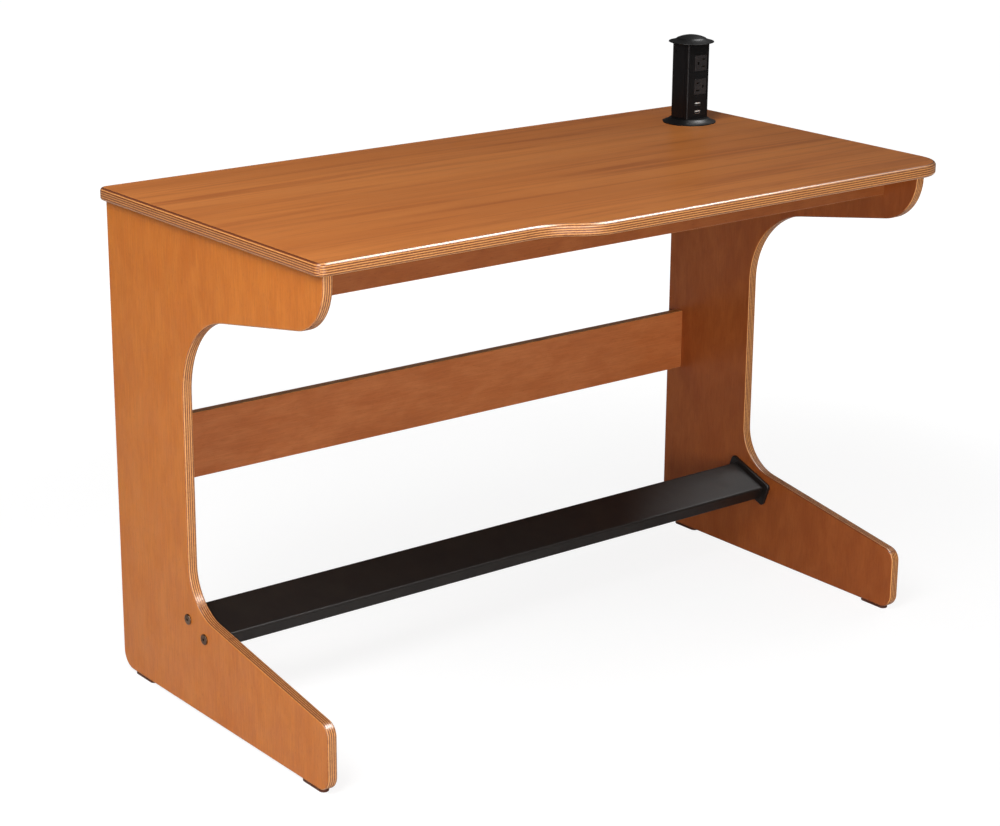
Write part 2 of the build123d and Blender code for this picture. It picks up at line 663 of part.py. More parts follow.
with BuildPart() as top_brackets:
    for side in SIDES:
        with Locations(*[(side * (PANEL_INNER_X - BRACKET_LEG / 2), y, PANEL_TOP) for y in BRACKET_YS]):
            Box(
                BRACKET_LEG,
                BRACKET_WIDTH,
                BRACKET_THICKNESS,
                align=(Align.CENTER, Align.CENTER, Align.MAX),
            )
        leg_x = side * (PANEL_INNER_X - BRACKET_THICKNESS / 2)
        with Locations(*[(leg_x, y, PANEL_TOP) for y in BRACKET_YS]):
            Box(
                BRACKET_THICKNESS,
                BRACKET_WIDTH,
                BRACKET_LEG,
                align=(Align.CENTER, Align.CENTER, Align.MAX),
            )
        with Locations(*bracket_panel_screws(side)):
            Cylinder(WOOD_SCREW_RADIUS + SCREW_PLAY, 3 * BRACKET_THICKNESS, mode=Mode.SUBTRACT)
    with Locations(*bracket_top_screws(PANEL_TOP)):
        Cylinder(WOOD_SCREW_RADIUS + SCREW_PLAY, 3 * BRACKET_THICKNESS, mode=Mode.SUBTRACT)
    corner_edges = top_brackets.edges().filter_by(Axis.Z).group_by(SortBy.LENGTH)[0]
    fillet(corner_edges, BRACKET_CORNER_ROUND)
top_brackets.part.label = "top_brackets"
export_step(top_brackets.part, "parts/top_brackets.step")

bracket_screw_places = bracket_top_screws(PANEL_TOP - BRACKET_THICKNESS)
for side in SIDES:
    bracket_screw_places += bracket_panel_screws(side, BRACKET_THICKNESS)
with BuildPart() as bracket_screws:
    with Locations(*bracket_screw_places):
        Cylinder(
            SCREW_HEAD_RADIUS, SCREW_HEAD_HEIGHT, align=(Align.CENTER, Align.CENTER, Align.MIN)
        )
        Cylinder(
            WOOD_SCREW_RADIUS,
            WOOD_SCREW_LENGTH,
            align=(Align.CENTER, Align.CENTER, Align.MAX),
        )
    circles = bracket_screws.edges().filter_by(GeomType.CIRCLE)
    fillet(circles.filter_by(lambda e: e.radius > WOOD_SCREW_RADIUS + CLEARANCE), SCREW_HEAD_ROUND)
    with Locations(*[place * Location((0, 0, SCREW_HEAD_HEIGHT)) for place in bracket_screw_places]):
        Box(CROSS_SLOT_LENGTH, CROSS_SLOT_WIDTH, SCREW_HEAD_HEIGHT, mode=Mode.SUBTRACT)
        Box(CROSS_SLOT_WIDTH, CROSS_SLOT_LENGTH, SCREW_HEAD_HEIGHT, mode=Mode.SUBTRACT)
bracket_screws.part.label = "bracket_screws"
export_step(bracket_screws.part, "parts/bracket_screws.step")

# ---------------------------------------------------------------- glides

with BuildPart() as glides:
    with BuildSketch():
        for side in SIDES:
            with Locations(*[(side * PANEL_MIDDLE_X, y) for y in GLIDE_YS]):
                SlotOverall(GLIDE_LENGTH, GLIDE_WIDTH, rotation=90)
    extrude(amount=GLIDE_THICKNESS)
    fillet(glides.faces().filter_by(Axis.Z).group_by(Axis.Z)[0].edges(), GLIDE_EDGE_ROUND)
    for side in SIDES:
        with Locations(*glide_screw_places(side, 0)):
            CounterSinkHole(
                radius=WOOD_SCREW_RADIUS + GLIDE_SCREW_PLAY,
                counter_sink_radius=GLIDE_SINK_RADIUS,
                depth=GLIDE_THICKNESS,
            )
glides.part.label = "glides"
export_step(glides.part, "parts/glides.step")

with BuildSketch() as glide_screw_section:
    with BuildLine():
        Polyline(
            (0, -GLIDE_SCREW_SINK),
            (GLIDE_SCREW_HEAD_RADIUS, -GLIDE_SCREW_SINK),
            (WOOD_SCREW_RADIUS, -GLIDE_SCREW_SINK - GLIDE_SCREW_CONE),
            (WOOD_SCREW_RADIUS, GLIDE_SCREW_POINT - GLIDE_SCREW_LENGTH),
            (0, -GLIDE_SCREW_LENGTH),
            close=True,
        )
    make_face()
glide_screws = revolved(
    glide_screw_section.sketch, glide_screw_places(LEFT, 0) + glide_screw_places(RIGHT, 0)
)
glide_screws.part.label = "glide_screws"
export_step(glide_screws.part, "parts/glide_screws.step")

# ---------------------------------------------------------------- footrest

with BuildPart() as footrest_tube:
    with BuildSketch(footrest_plane(-PLATE_FACE_X)):
        RectangleRounded(TUBE_WIDTH, TUBE_HEIGHT, TUBE_RADIUS)
        RectangleRounded(
            TUBE_WIDTH - 2 * TUBE_WALL,
            TUBE_HEIGHT - 2 * TUBE_WALL,
            TUBE_RADIUS - TUBE_WALL,
            mode=Mode.SUBTRACT,
        )
    extrude(amount=2 * PLATE_FACE_X)
footrest_tube.part.label = "footrest_tube"
export_step(footrest_tube.part, "parts/footrest_tube.step")


def footrest_plate(side):
    """The end plate that carries one end of the footrest tube against its panel."""
    low_x = PLATE_FACE_X if side == RIGHT else -PANEL_INNER_X
    with BuildPart() as plate:
        with BuildSketch(footrest_plane(low_x)):
            RectangleRounded(PLATE_LENGTH, PLATE_WIDTH, PLATE_RADIUS)
        extrude(amount=PLATE_THICKNESS)
        exposed = plate.faces().sort_by(Axis.X)[0 if side == RIGHT else -1]
        fillet(exposed.edges(), PLATE_EDGE_ROUND)
        with Locations(*bolt_places(side * PLATE_FACE_X, -side)):
            Hole(radius=BOLT_RADIUS + SCREW_PLAY, depth=PLATE_THICKNESS)
    return plate


footrest_left_plate = footrest_plate(LEFT)
footrest_left_plate.part.label = "footrest_left_plate"
export_step(footrest_left_plate.part, "parts/footrest_left_plate.step")

footrest_right_plate = footrest_plate(RIGHT)
footrest_right_plate.part.label = "footrest_right_plate"
export_step(footrest_right_plate.part, "parts/footrest_right_plate.step")

footrest_bolt_places = bolt_places(-PANEL_OUTER_X, -1) + bolt_places(PANEL_OUTER_X, 1)
with BuildPart() as footrest_bolts:
    with Locations(*footrest_bolt_places):
        Cylinder(
            BOLT_HEAD_RADIUS,
            BOLT_HEAD_HEIGHT,
            align=(Align.CENTER, Align.CENTER, Align.MIN),
        )
        Cylinder(BOLT_RADIUS, BOLT_LENGTH, align=(Align.CENTER, Align.CENTER, Align.MAX))
    rims = footrest_bolts.edges().filter_by(GeomType.CIRCLE).group_by(Axis.X)
    fillet(rims[0] + rims[-1], BOLT_HEAD_ROUND)
    for place in footrest_bolt_places:
        with BuildSketch(Plane(place).offset(BOLT_HEAD_HEIGHT)):
            RegularPolygon(radius=BOLT_SOCKET_RADIUS, side_count=6, major_radius=False)
        extrude(amount=-BOLT_SOCKET_DEPTH, mode=Mode.SUBTRACT)
footrest_bolts.part.label = "footrest_bolts"
export_step(footrest_bolts.part, "parts/footrest_bolts.step")

with BuildPart() as footrest_nuts:
    for place in bolt_places(-PLATE_FACE_X, 1) + bolt_places(PLATE_FACE_X, -1):
        with BuildSketch(Plane(place)):
            RegularPolygon(radius=NUT_FLATS / 2, side_count=6, major_radius=False)
            Circle(BOLT_RADIUS + CLEARANCE, mode=Mode.SUBTRACT)
        extrude(amount=NUT_HEIGHT)
footrest_nuts.part.label = "footrest_nuts"
export_step(footrest_nuts.part, "parts/footrest_nuts.step")

# ---------------------------------------------------------------- power tower: fixed parts

tower_axis = Axis((TOWER_X, TOWER_Y, 0), (0, 0, 1))
tower_section = Plane(origin=(TOWER_X, TOWER_Y, 0), x_dir=(1, 0, 0), z_dir=(0, -1, 0))


def tower_plan(z):
    """A horizontal sketch plane centred on the tower at one height."""
    return Plane.XY.offset(z).move(Location((TOWER_X, TOWER_Y, 0)))


with BuildPart() as tower_flange:
    with BuildSketch(tower_section):
        with BuildLine():
            Line((0, TOP_SURFACE), (FLANGE_RADIUS, TOP_SURFACE))
            rim = Line((FLANGE_RADIUS, TOP_SURFACE), (FLANGE_RADIUS, TOP_SURFACE + FLANGE_RIM))
            cove = ThreePointArc(
                rim @ 1,
                (FLANGE_COVE_RADIUS, TOP_SURFACE + FLANGE_COVE_HEIGHT),
                (FLANGE_LIP_RADIUS, FLANGE_TOP - FLANGE_LIP_DROP),
            )
            RadiusArc(cove @ 1, (FLANGE_FLAT_RADIUS, FLANGE_TOP), -FLANGE_LIP_ROUND)
            Line((FLANGE_FLAT_RADIUS, FLANGE_TOP), (0, FLANGE_TOP))
            Line((0, FLANGE_TOP), (0, TOP_SURFACE))
        make_face()
    revolve(axis=tower_axis)
    with BuildSketch(tower_plan(TOP_SURFACE)):
        Circle(SLEEVE_RADIUS)
    extrude(amount=-SLEEVE_DROP)
    with BuildSketch(tower_plan(TOP_SURFACE - SLEEVE_DROP)):
        Circle(SLEEVE_BORE_RADIUS)
    extrude(amount=SLEEVE_DROP - GUIDE_DROP, mode=Mode.SUBTRACT)
    with BuildSketch(tower_plan(GUIDE_BOTTOM)):
        RectangleRounded(
            BODY_WIDTH + 2 * BODY_SLACK, BODY_DEPTH + 2 * BODY_SLACK, BODY_CORNER_RADIUS + BODY_SLACK
        )
    extrude(amount=GUIDE_DROP + FLANGE_HEIGHT, mode=Mode.SUBTRACT)
    with BuildSketch(tower_plan(TOP_SURFACE)):
        RectangleRounded(
            BODY_WIDTH + 2 * RING_WIDTH, BODY_DEPTH + 2 * RING_WIDTH, BODY_CORNER_RADIUS + RING_WIDTH
        )
    extrude(amount=RING_HEIGHT, mode=Mode.SUBTRACT)
tower_flange.part.label = "tower_flange"
export_step(tower_flange.part, "parts/tower_flange.step")

with BuildPart() as friction_ring:
    with BuildSketch(tower_plan(TOP_SURFACE + RING_PLAY)):
        ring_width = RING_WIDTH - RING_PLAY
        RectangleRounded(
            BODY_WIDTH + 2 * ring_width, BODY_DEPTH + 2 * ring_width, BODY_CORNER_RADIUS + ring_width
        )
        RectangleRounded(
            BODY_WIDTH + 2 * CLEARANCE,
            BODY_DEPTH + 2 * CLEARANCE,
            BODY_CORNER_RADIUS + CLEARANCE,
            mode=Mode.SUBTRACT,
        )
    extrude(amount=RING_HEIGHT - 2 * RING_PLAY)
friction_ring.part.label = "friction_ring"
export_step(friction_ring.part, "parts/friction_ring.step")

with BuildPart() as clamp_nut:
    with BuildSketch(tower_plan(PANEL_TOP)):
        Circle(CLAMP_RADIUS)
        Circle(SLEEVE_RADIUS + CLEARANCE, mode=Mode.SUBTRACT)
        with PolarLocations(CLAMP_NOTCH_CENTRE, CLAMP_NOTCHES):
            Circle(CLAMP_NOTCH_RADIUS, mode=Mode.SUBTRACT)
    extrude(amount=-CLAMP_HEIGHT)
clamp_nut.part.label = "clamp_nut"
export_step(clamp_nut.part, "parts/clamp_nut.step")

# ---------------------------------------------------------------- power tower: sliding parts


def shell_screw_places(z):
    """The two screw positions through the body's side walls at one height, facing outwards."""
    return [
        facing(TOWER_X + side * BODY_WIDTH / 2, TOWER_Y + SHELL_SCREW_BACK, z, (side, 0, 0))
        for side in SIDES
    ]


def boss_section():
    """Plan of the hollow boss that plugs into an end of the body."""
    with BuildSketch() as section:
        RectangleRounded(BOSS_WIDTH, BOSS_DEPTH, BOSS_ROUND)
        RectangleRounded(
            BOSS_WIDTH - 2 * BOSS_WALL, BOSS_DEPTH - 2 * BOSS_WALL, BOSS_ROUND, mode=Mode.SUBTRACT
        )
    return section.sketch


with BuildPart() as tower_body:
    with BuildSketch(tower_plan(BODY_BOTTOM)):
        RectangleRounded(BODY_WIDTH, BODY_DEPTH, BODY_CORNER_RADIUS)
        RectangleRounded(
            BODY_WIDTH - 2 * BODY_WALL,
            BODY_DEPTH - 2 * BODY_WALL,
            BODY_CORNER_RADIUS - BODY_WALL,
            mode=Mode.SUBTRACT,
        )
        for side in SIDES:
            with Locations(*[(side * BODY_WIDTH / 2, back - BODY_DEPTH / 2) for back in BODY_GROOVES]):
                Rectangle(2 * BODY_GROOVE_DEPTH, BODY_GROOVE_WIDTH, mode=Mode.SUBTRACT)
    extrude(amount=LID_BOTTOM - BODY_BOTTOM)
    with Locations((TOWER_X + FASCIA_SHIFT, BODY_FRONT_Y, FASCIA_MIDDLE_Z)):
        Box(FASCIA_WIDTH, 6 * BODY_WALL, FASCIA_HEIGHT, mode=Mode.SUBTRACT)
    with Locations(*(shell_screw_places(UPPER_SCREW_Z) + shell_screw_places(LOWER_SCREW_Z))):
        CounterSinkHole(
            radius=SHELL_SCREW_RADIUS + SHELL_SCREW_PLAY,
            counter_sink_radius=SHELL_SCREW_HEAD_RADIUS + SCREW_PLAY,
            depth=2 * BODY_WALL,
        )
tower_body.part.label = "tower_body"
export_step(tower_body.part, "parts/tower_body.step")

with BuildSketch() as shell_screw_section:
    with BuildLine():
        Polyline(
            (0, -SHELL_SCREW_SINK),
            (SHELL_SCREW_HEAD_RADIUS, -SHELL_SCREW_SINK),
            (SHELL_SCREW_RADIUS, -SHELL_SCREW_CONE),
            (SHELL_SCREW_RADIUS, -SHELL_SCREW_LENGTH),
            (0, -SHELL_SCREW_LENGTH),
            close=True,
        )
    make_face()
shell_screws = revolved(
    shell_screw_section.sketch, shell_screw_places(UPPER_SCREW_Z) + shell_screw_places(LOWER_SCREW_Z)
)
shell_screws.part.label = "shell_screws"
export_step(shell_screws.part, "parts/shell_screws.step")

with BuildPart() as tower_lid:
    with BuildSketch(tower_section):
        with BuildLine():
            seat = Line((0, LID_BOTTOM), (LID_SEAT_RADIUS, LID_BOTTOM))
            cone = Line(seat @ 1, (LID_RADIUS, LID_BOTTOM + LID_RIM_BOTTOM))
            edge = Line(cone @ 1, (LID_RADIUS - LID_RIM_DRAFT, LID_BOTTOM + LID_RIM_TOP))
            slope = ThreePointArc(
                edge @ 1,
                (LID_SLOPE_RADIUS, LID_BOTTOM + LID_SLOPE_HEIGHT),
                (LID_COVE_RADIUS, LID_BOTTOM + LID_COVE_HEIGHT),
            )
            step = Line(slope @ 1, (LID_CROWN_RADIUS, LID_BOTTOM + LID_CROWN_HEIGHT))
            crown = RadiusArc(step @ 1, (0, LID_TOP), -CROWN_SPHERE)
            Line(crown @ 1, seat @ 0)
        make_face()
    revolve(axis=tower_axis)
    with Locations(tower_plan(LID_BOTTOM - LID_BOSS_HEIGHT).location):
        add(extrude(boss_section(), amount=LID_BOSS_HEIGHT, mode=Mode.PRIVATE))
    with Locations((TOWER_X, BODY_FRONT_Y, LID_BOTTOM)):
        Box(
            BODY_WIDTH,
            2 * LID_BOSS_CUT,
            LID_BOSS_HEIGHT,
            align=(Align.CENTER, Align.CENTER, Align.MAX),
            mode=Mode.SUBTRACT,
        )
    with Locations(*shell_screw_places(UPPER_SCREW_Z)):
        Hole(radius=SHELL_SCREW_RADIUS + CLEARANCE, depth=SHELL_SCREW_HOLE_DEPTH)
tower_lid.part.label = "tower_lid"
export_step(tower_lid.part, "parts/tower_lid.step")

with BuildPart() as base_plug:
    with BuildSketch(tower_plan(COLLAR_BOTTOM)):
        Circle(SLEEVE_BORE_RADIUS - COLLAR_PLAY)
    extrude(amount=COLLAR_HEIGHT)
    chamfer(base_plug.edges().filter_by(GeomType.CIRCLE), COLLAR_CHAMFER)
    with Locations(tower_plan(BODY_BOTTOM).location):
        add(extrude(boss_section(), amount=BASE_BOSS_HEIGHT, mode=Mode.PRIVATE))
        Hole(radius=BUSH_RADIUS + CLEARANCE, depth=COLLAR_HEIGHT)
    with Locations(*shell_screw_places(LOWER_SCREW_Z)):
        Hole(radius=SHELL_SCREW_RADIUS + CLEARANCE, depth=SHELL_SCREW_HOLE_DEPTH)
base_plug.part.label = "base_plug"
export_step(base_plug.part, "parts/base_plug.step")

with BuildPart() as strain_relief:
    with BuildSketch(tower_plan(COLLAR_BOTTOM)):
        Circle(BUSH_FLANGE_RADIUS)
    extrude(amount=-BUSH_FLANGE)
    with BuildSketch(tower_plan(COLLAR_BOTTOM)):
        Circle(BUSH_RADIUS)
    extrude(amount=BUSH_LENGTH)
    chamfer(strain_relief.edges().filter_by(GeomType.CIRCLE).sort_by(Axis.Z)[0], COLLAR_CHAMFER)
    with Locations((TOWER_X, TOWER_Y, COLLAR_BOTTOM + BUSH_LENGTH)):
        Hole(radius=CORD_RADIUS + CLEARANCE, depth=BUSH_LENGTH + BUSH_FLANGE)
strain_relief.part.label = "strain_relief"
export_step(strain_relief.part, "parts/strain_relief.step")

# ---------------------------------------------------------------- power tower: outlets


def front_plane(y):
    """A sketch plane across the tower at one depth, facing the user: local Y is up."""
    return Plane(origin=(TOWER_X, y, 0), x_dir=(1, 0, 0), z_dir=(0, -1, 0))


with BuildPart() as tower_fascia:
    with BuildSketch(front_plane(FASCIA_BACK_Y)):
        with Locations((FASCIA_SHIFT, FASCIA_MIDDLE_Z)):
            Rectangle(FASCIA_WIDTH - 2 * FASCIA_PLAY, FASCIA_HEIGHT - 2 * FASCIA_PLAY)
        with Locations(*[(OPENING_SHIFT, z) for z in (UPPER_OUTLET_Z, LOWER_OUTLET_Z)]):
            RectangleRounded(OPENING_WIDTH, OPENING_HEIGHT, OUTLET_CORNER_RADIUS, mode=Mode.SUBTRACT)
        with Locations(*[(USB_SHIFT, z) for z in USB_ZS]):
            Rectangle(USB_WIDTH, USB_HEIGHT, mode=Mode.SUBTRACT)
    extrude(amount=FASCIA_THICKNESS)
    front_rim = tower_fascia.faces().sort_by(Axis.Y)[0].outer_wire().edges()
    chamfer(front_rim, FASCIA_CHAMFER)
    with Locations(*[(TOWER_X + FASCIA_SHIFT, FASCIA_FRONT_Y, z) for z in FASCIA_SEAMS]):
        Box(FASCIA_WIDTH, 2 * SEAM_DEPTH, SEAM_WIDTH, mode=Mode.SUBTRACT)
tower_fascia.part.label = "tower_fascia"
export_step(tower_fascia.part, "parts/tower_fascia.step")


def slot_points(z, blades_side):
    """The (x, z) of an outlet's two blade slots, then of its ground hole."""
    blade_x = OUTLET_SHIFT + blades_side * SLOT_TO_GROUND / 2
    ground_x = OUTLET_SHIFT - blades_side * SLOT_TO_GROUND / 2
    return [(blade_x, z - SLOT_SPACING / 2), (blade_x, z + SLOT_SPACING / 2), (ground_x, z)]


def outlet(z, blades_side):
    """A three-pin outlet turned on its side: blade slots towards blades_side, ground opposite."""
    lower_slot, upper_slot, ground = slot_points(z, blades_side)
    with BuildPart() as socket:
        with BuildSketch(front_plane(FASCIA_BACK_Y)):
            with Locations((OUTLET_SHIFT, z)):
                RectangleRounded(OUTLET_SIZE, OUTLET_SIZE, OUTLET_CORNER_RADIUS)
        extrude(amount=FASCIA_BACK_Y - OUTLET_FRONT_Y)
        front_edges = socket.faces().sort_by(Axis.Y)[0].edges()
        chamfer(front_edges, FASCIA_CHAMFER)
        with BuildSketch(front_plane(OUTLET_FLANGE_Y)):
            with Locations((OPENING_SHIFT, z)):
                Rectangle(OPENING_WIDTH + 2 * OUTLET_MARGIN, OPENING_HEIGHT + 2 * OUTLET_MARGIN)
        extrude(amount=OUTLET_FLANGE_Y - FASCIA_BACK_Y)
        with BuildSketch(front_plane(OUTLET_BACK_Y)):
            with Locations((OUTLET_SHIFT, z)):
                Rectangle(OUTLET_BACK_SIZE, OUTLET_BACK_SIZE)
                Rectangle(
                    OUTLET_BACK_SIZE - 2 * OUTLET_BACK_WALL,
                    OUTLET_BACK_SIZE - 2 * OUTLET_BACK_WALL,
                    mode=Mode.SUBTRACT,
                )
        extrude(amount=OUTLET_BACK_DEPTH)
        with BuildSketch(front_plane(OUTLET_FRONT_Y)):
            with Locations(lower_slot):
                Rectangle(LONG_SLOT, SLOT_WIDTH)
            with Locations(upper_slot):
                Rectangle(SHORT_SLOT, SLOT_WIDTH)
            with Locations(ground):
                Circle(GROUND_RADIUS)
        extrude(amount=OUTLET_FRONT_Y - OUTLET_FLANGE_Y, mode=Mode.SUBTRACT)
    return socket


outlet_upper = outlet(UPPER_OUTLET_Z, RIGHT)
outlet_upper.part.label = "outlet_upper"
export_step(outlet_upper.part, "parts/outlet_upper.step")

outlet_lower = outlet(LOWER_OUTLET_Z, LEFT)
outlet_lower.part.label = "outlet_lower"
export_step(outlet_lower.part, "parts/outlet_lower.step")

with BuildPart() as outlet_contacts:
    for outlet_z, blades_side in ((UPPER_OUTLET_Z, RIGHT), (LOWER_OUTLET_Z, LEFT)):
        *blade_points, ground_point = slot_points(outlet_z, blades_side)
        with BuildSketch(front_plane(OUTLET_FLANGE_Y)):
            with Locations(*blade_points):
                Rectangle(SHORT_SLOT + 2 * CONTACT_WALL, CONTACT_MOUTH + 2 * CONTACT_WALL)
                Rectangle(SHORT_SLOT, CONTACT_MOUTH, mode=Mode.SUBTRACT)
            with Locations(ground_point):
                Circle(GROUND_RADIUS + CONTACT_WALL)
                Circle(GROUND_RADIUS, mode=Mode.SUBTRACT)
        extrude(amount=-CONTACT_LENGTH)
outlet_contacts.part.label = "outlet_contacts"
export_step(outlet_contacts.part, "parts/outlet_contacts.step")

with BuildPart() as usb_module:
    with BuildSketch(front_plane(USB_BACK_Y)):
        with Locations((USB_SHIFT, USB_MIDDLE_Z)):
            Rectangle(USB_CASE_WIDTH, USB_CASE_HEIGHT)
    extrude(amount=USB_DEPTH)
    with BuildSketch(front_plane(USB_INNER_Y)):
        with Locations(*[(USB_SHIFT, z) for z in USB_ZS]):
            Rectangle(USB_WIDTH - USB_PLAY, USB_HEIGHT - USB_PLAY)
    extrude(amount=USB_INNER_Y - FASCIA_BACK_Y, mode=Mode.SUBTRACT)
usb_module.part.label = "usb_module"
export_step(usb_module.part, "parts/usb_module.step")

with BuildPart() as usb_shells:
    with BuildSketch(front_plane(USB_INNER_Y)):
        with Locations(*[(USB_SHIFT, z) for z in USB_ZS]):
            RectangleRounded(USB_SHELL_WIDTH, USB_SHELL_HEIGHT, USB_SHELL_ROUND)
            Rectangle(
                USB_SHELL_WIDTH - 2 * USB_SHELL_WALL,
                USB_SHELL_HEIGHT - 2 * USB_SHELL_WALL,
                mode=Mode.SUBTRACT,
            )
    extrude(amount=USB_INNER_Y - USB_SHELL_FRONT_Y)
usb_shells.part.label = "usb_shells"
export_step(usb_shells.part, "parts/usb_shells.step")

with BuildPart() as usb_tongues:
    with BuildSketch(front_plane(USB_INNER_Y)):
        with Locations(*[(USB_SHIFT, z + USB_TONGUE_RISE) for z in USB_ZS]):
            Rectangle(USB_TONGUE_WIDTH, USB_TONGUE_HEIGHT)
    extrude(amount=USB_INNER_Y - USB_SHELL_FRONT_Y - USB_TONGUE_RECESS)
usb_tongues.part.label = "usb_tongues"
export_step(usb_tongues.part, "parts/usb_tongues.step")

with BuildPart() as usb_charger_board:
    with BuildSketch(front_plane(BOARD_BACK_Y)):
        with Locations((USB_SHIFT, USB_MIDDLE_Z)):
            Rectangle(BOARD_SIZE, BOARD_SIZE)
    extrude(amount=BOARD_THICKNESS)
    for chip_x, chip_z, chip_width, chip_length in CHIPS:
        with Locations((TOWER_X + USB_SHIFT + chip_x, BOARD_BACK_Y, USB_MIDDLE_Z + chip_z)):
            Box(
                chip_width,
                CHIP_HEIGHT,
                chip_length,
                align=(Align.CENTER, Align.MIN, Align.CENTER),
            )
usb_charger_board.part.label = "usb_charger_board"
export_step(usb_charger_board.part, "parts/usb_charger_board.step")

# ---------------------------------------------------------------- power cord

with BuildLine() as cord_path:
    coil = Helix(
        pitch=COIL_PITCH,
        height=COIL_PITCH * COIL_TURNS,
        radius=COIL_RADIUS,
        center=(TOWER_X, TOWER_Y, COIL_BOTTOM),
    )
    lead_in = Line(coil @ 0 - (coil % 0) * CORD_LEAD, coil @ 0)
    riser = Line(
        (TOWER_X, TOWER_Y, COIL_TOP + CORD_RISE), (TOWER_X, TOWER_Y, BODY_BOTTOM + CORD_IN_BODY)
    )
    Spline(
        coil @ 1,
        riser @ 0,
        tangents=(coil % 1, (0, 0, 1)),
        tangent_scalars=(COIL_END_PULL, RISER_END_PULL),
    )
with BuildPart() as power_cord:
    with BuildSketch(Plane(origin=lead_in @ 0, z_dir=lead_in % 0)):
        Circle(CORD_RADIUS)
    sweep(path=cord_path.wires()[0])
power_cord.part.label = "power_cord"
export_step(power_cord.part, "parts/power_cord.step")

plug_axis = lead_in % 0
plug_face = Plane(origin=lead_in @ 0 + plug_axis * PLUG_ON_CORD, x_dir=(1, 0, 0), z_dir=-plug_axis)
with BuildPart() as cord_plug:
    with BuildSketch(plug_face):
        Circle(CORD_RADIUS + PLUG_NECK)
    with BuildSketch(plug_face.offset(PLUG_TAPER)):
        RectangleRounded(PLUG_WIDTH, PLUG_HEIGHT, PLUG_ROUND)
    loft()
    with BuildSketch(plug_face.offset(PLUG_TAPER)):
        RectangleRounded(PLUG_WIDTH, PLUG_HEIGHT, PLUG_ROUND)
    extrude(amount=PLUG_GRIP)
    fillet(cord_plug.faces().sort_by(Axis.Y)[0].edges(), PLUG_EDGE_ROUND)
    with Locations(plug_face.location):
        Hole(radius=CORD_RADIUS + CLEARANCE, depth=PLUG_ON_CORD + PLUG_BORE_SPARE)
cord_plug.part.label = "cord_plug"
export_step(cord_plug.part, "parts/cord_plug.step")

with BuildPart() as plug_blades:
    with BuildSketch(plug_face.offset(PLUG_TAPER + PLUG_GRIP)):
        with Locations((-SLOT_SPACING / 2, BLADE_RISE), (SLOT_SPACING / 2, BLADE_RISE)):
            Rectangle(BLADE_THICKNESS, BLADE_WIDTH)
        with Locations((0, BLADE_RISE - SLOT_TO_GROUND)):
            Circle(GROUND_PIN_RADIUS)
    extrude(amount=BLADE_LENGTH)
plug_blades.part.label = "plug_blades"
export_step(plug_blades.part, "parts/plug_blades.step")

with BuildPart() as cord_tie:
    with BuildSketch(Plane.XZ.offset(TIE_WIDTH / 2 - TOWER_Y)):
        with Locations((TOWER_X - COIL_RADIUS, (COIL_TOP + COIL_BOTTOM) / 2)):
            RectangleRounded(TIE_INNER_WIDTH, TIE_INNER_HEIGHT, TIE_INNER_ROUND)
            offset(amount=TIE_THICKNESS)
            RectangleRounded(TIE_INNER_WIDTH, TIE_INNER_HEIGHT, TIE_INNER_ROUND, mode=Mode.SUBTRACT)
    extrude(amount=-TIE_WIDTH)
cord_tie.part.label = "cord_tie"
export_step(cord_tie.part, "parts/cord_tie.step")
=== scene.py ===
import json
import math

import bpy
from mathutils import Matrix, Vector


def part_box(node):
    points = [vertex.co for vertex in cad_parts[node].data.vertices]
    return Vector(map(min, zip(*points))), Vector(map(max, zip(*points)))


# A desk with C-shaped plywood sides, a stepped worktop, a steel footrest and a power tower that slides
# up through the top. Metres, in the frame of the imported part: +X right, +Y back, +Z up, floor at zero.

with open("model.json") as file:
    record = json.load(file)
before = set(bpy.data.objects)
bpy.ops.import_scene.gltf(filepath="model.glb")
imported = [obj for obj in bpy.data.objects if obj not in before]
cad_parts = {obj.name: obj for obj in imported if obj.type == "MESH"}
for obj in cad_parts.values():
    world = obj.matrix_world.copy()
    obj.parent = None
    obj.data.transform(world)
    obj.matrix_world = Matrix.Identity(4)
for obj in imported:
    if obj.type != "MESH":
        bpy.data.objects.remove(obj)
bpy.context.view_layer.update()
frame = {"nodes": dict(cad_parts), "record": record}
MM = 0.001

# ---------------------------------------------------------------- shader graph helper


